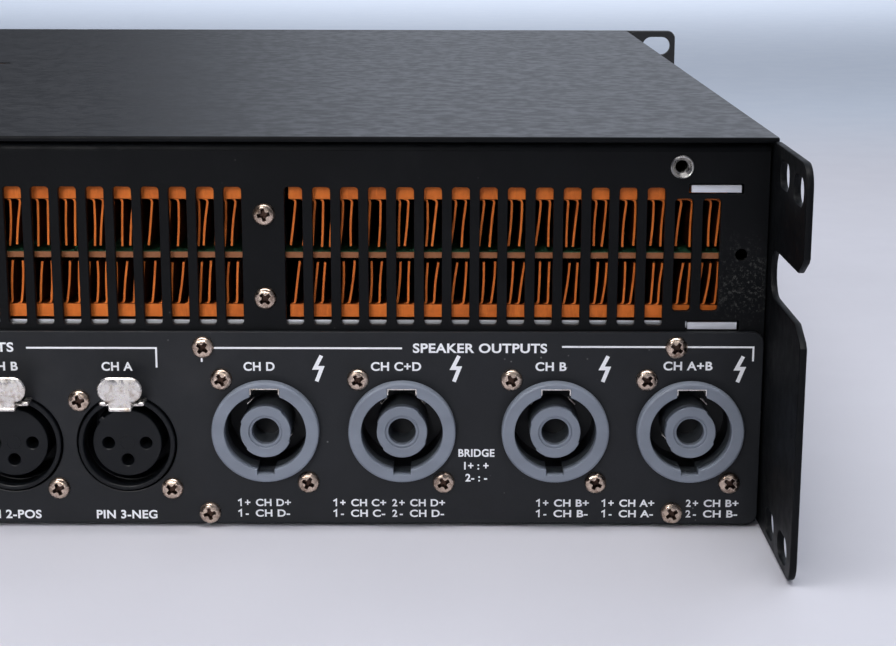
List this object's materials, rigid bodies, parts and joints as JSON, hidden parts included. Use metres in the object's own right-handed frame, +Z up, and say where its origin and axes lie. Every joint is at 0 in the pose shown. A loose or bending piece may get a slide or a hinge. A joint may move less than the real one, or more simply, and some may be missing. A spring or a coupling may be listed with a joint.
{
  "type": "power amplifier",
  "caption": "Two-unit rack power amplifier: steel case with rear vents over copper heatsinks, speaker and input sockets, front handles, fans, level knobs and a power rocker.",
  "frame": {"origin": "middle of the amplifier's bounding box, on the surface it stands on", "axes": "+Z up, front panel facing -Y, connector side facing +Y, +X to the right when the front is faced"},
  "size_m": [0.483, 0.42, 0.088],
  "materials": {
    "black_sheet": "satin black powder coat, fine texture",
    "cover_black": "satin black powder coat on the cover",
    "front_black": "satin black powder coat",
    "handle_black": "semi-gloss black coat on aluminium",
    "fascia_black": "fine-textured black moulding",
    "knob_black": "soft-touch black",
    "socket_grey": "blue-grey moulded plastic",
    "socket_black": "black moulded plastic",
    "lever_white": "off-white moulded plastic",
    "nickel": "bright nickel plate, slightly warm",
    "copper": "bare copper, faintly oxidised",
    "aluminium": "mill-finish sheet",
    "board_green": "solder-masked glass-fibre board",
    "winding": "varnished windings and core",
    "capacitor_black": "sleeved capacitor cans in a tray",
    "foam_black": "open-cell filter foam",
    "fan_black": "black moulded plastic"
  },
  "bodies": {
    "chassis": {"bottom_plate": "black_sheet", "side_plate_left": "black_sheet", "side_plate_right": "black_sheet", "top_cover": "cover_black", "rear_vent_panel": "black_sheet", "connector_plate": "black_sheet", "speaker_socket_1": "socket_grey", "speaker_socket_2": "socket_grey", "speaker_socket_3": "socket_grey", "speaker_socket_4": "socket_grey", "xlr_shell_1": "socket_black", "xlr_insert_1": "socket_black", "xlr_shell_2": "socket_black", "xlr_insert_2": "socket_black", "xlr_shell_3": "socket_black", "xlr_insert_3": "socket_black", "xlr_shell_4": "socket_black", "xlr_insert_4": "socket_black", "mains_inlet": "socket_black", "dip_switch_block": "socket_black", "tunnel_plate_top": "aluminium", "tunnel_plate_bottom": "aluminium", "heatsink_upper_1": "copper", "heatsink_lower_1": "copper", "heatsink_upper_2": "copper", "heatsink_lower_2": "copper", "heatsink_upper_3": "copper", "heatsink_lower_3": "copper", "heatsink_upper_4": "copper", "heatsink_lower_4": "copper", "amp_board_left": "board_green", "amp_board_right": "board_green", "psu_board": "board_green", "transformer": "winding", "capacitor_bank": "capacitor_black", "front_panel": "front_black", "front_grille_left": "front_black", "filter_foam_left": "foam_black", "fan_frame_left": "fan_black", "handle_left": "handle_black", "front_grille_right": "front_black", "filter_foam_right": "foam_black", "fan_frame_right": "fan_black", "handle_right": "handle_black", "control_fascia": "fascia_black"},
    "latch_1": {"xlr_latch_1": "nickel"},
    "latch_2": {"xlr_latch_2": "nickel"},
    "latch_3": {"xlr_latch_3": "nickel"},
    "latch_4": {"xlr_latch_4": "nickel"},
    "dip_1": {"dip_lever_1": "lever_white"},
    "dip_2": {"dip_lever_2": "lever_white"},
    "dip_3": {"dip_lever_3": "lever_white"},
    "dip_4": {"dip_lever_4": "lever_white"},
    "knob_1": {"level_knob_1": "knob_black"},
    "knob_2": {"level_knob_2": "knob_black"},
    "knob_3": {"level_knob_3": "knob_black"},
    "knob_4": {"level_knob_4": "knob_black"},
    "rocker": {"power_rocker": "knob_black"},
    "fan_left": {"fan_rotor_left": "fan_black"},
    "fan_right": {"fan_rotor_right": "fan_black"}
  },
  "joints": [
    {"name": "latch_1_press", "type": "hinge", "parent": "chassis", "child": "latch_1", "pos_m": [-0.07874, 0.1743, 0.0295], "axis": [1, 0, 0], "range_deg": [0, 6], "stiffness_Nm_per_rad": 0.02},
    {"name": "latch_2_press", "type": "hinge", "parent": "chassis", "child": "latch_2", "pos_m": [-0.05326, 0.1743, 0.0295], "axis": [1, 0, 0], "range_deg": [0, 6], "stiffness_Nm_per_rad": 0.02},
    {"name": "latch_3_press", "type": "hinge", "parent": "chassis", "child": "latch_3", "pos_m": [-0.02778, 0.1743, 0.0295], "axis": [1, 0, 0], "range_deg": [0, 6], "stiffness_Nm_per_rad": 0.02},
    {"name": "latch_4_press", "type": "hinge", "parent": "chassis", "child": "latch_4", "pos_m": [-0.0023, 0.1743, 0.0295], "axis": [1, 0, 0], "range_deg": [0, 6], "stiffness_Nm_per_rad": 0.02},
    {"name": "dip_1_slide", "type": "slide", "parent": "chassis", "child": "dip_1", "axis": [0, 0, 1], "range_m": [0, 0.002]},
    {"name": "dip_2_slide", "type": "slide", "parent": "chassis", "child": "dip_2", "axis": [0, 0, 1], "range_m": [0, 0.002]},
    {"name": "dip_3_slide", "type": "slide", "parent": "chassis", "child": "dip_3", "axis": [0, 0, 1], "range_m": [0, 0.002]},
    {"name": "dip_4_slide", "type": "slide", "parent": "chassis", "child": "dip_4", "axis": [0, 0, 1], "range_m": [0, 0.002]},
    {"name": "knob_1_turn", "type": "hinge", "parent": "chassis", "child": "knob_1", "pos_m": [-0.054, -0.19, 0.026], "axis": [0, -1, 0], "range_deg": [-150, 150]},
    {"name": "knob_2_turn", "type": "hinge", "parent": "chassis", "child": "knob_2", "pos_m": [-0.026, -0.19, 0.026], "axis": [0, -1, 0], "range_deg": [-150, 150]},
    {"name": "knob_3_turn", "type": "hinge", "parent": "chassis", "child": "knob_3", "pos_m": [0.002, -0.19, 0.026], "axis": [0, -1, 0], "range_deg": [-150, 150]},
    {"name": "knob_4_turn", "type": "hinge", "parent": "chassis", "child": "knob_4", "pos_m": [0.03, -0.19, 0.026], "axis": [0, -1, 0], "range_deg": [-150, 150]},
    {"name": "rocker_tilt", "type": "hinge", "parent": "chassis", "child": "rocker", "pos_m": [0.058, -0.1763, 0.044], "axis": [1, 0, 0], "range_deg": [0, 12]},
    {"name": "fan_left_spin", "type": "hinge", "parent": "chassis", "child": "fan_left", "pos_m": [-0.137, -0.15, 0.0435], "axis": [0, 1, 0], "continuous": true},
    {"name": "fan_right_spin", "type": "hinge", "parent": "chassis", "child": "fan_right", "pos_m": [0.137, -0.15, 0.0435], "axis": [0, 1, 0], "continuous": true}
  ]
}
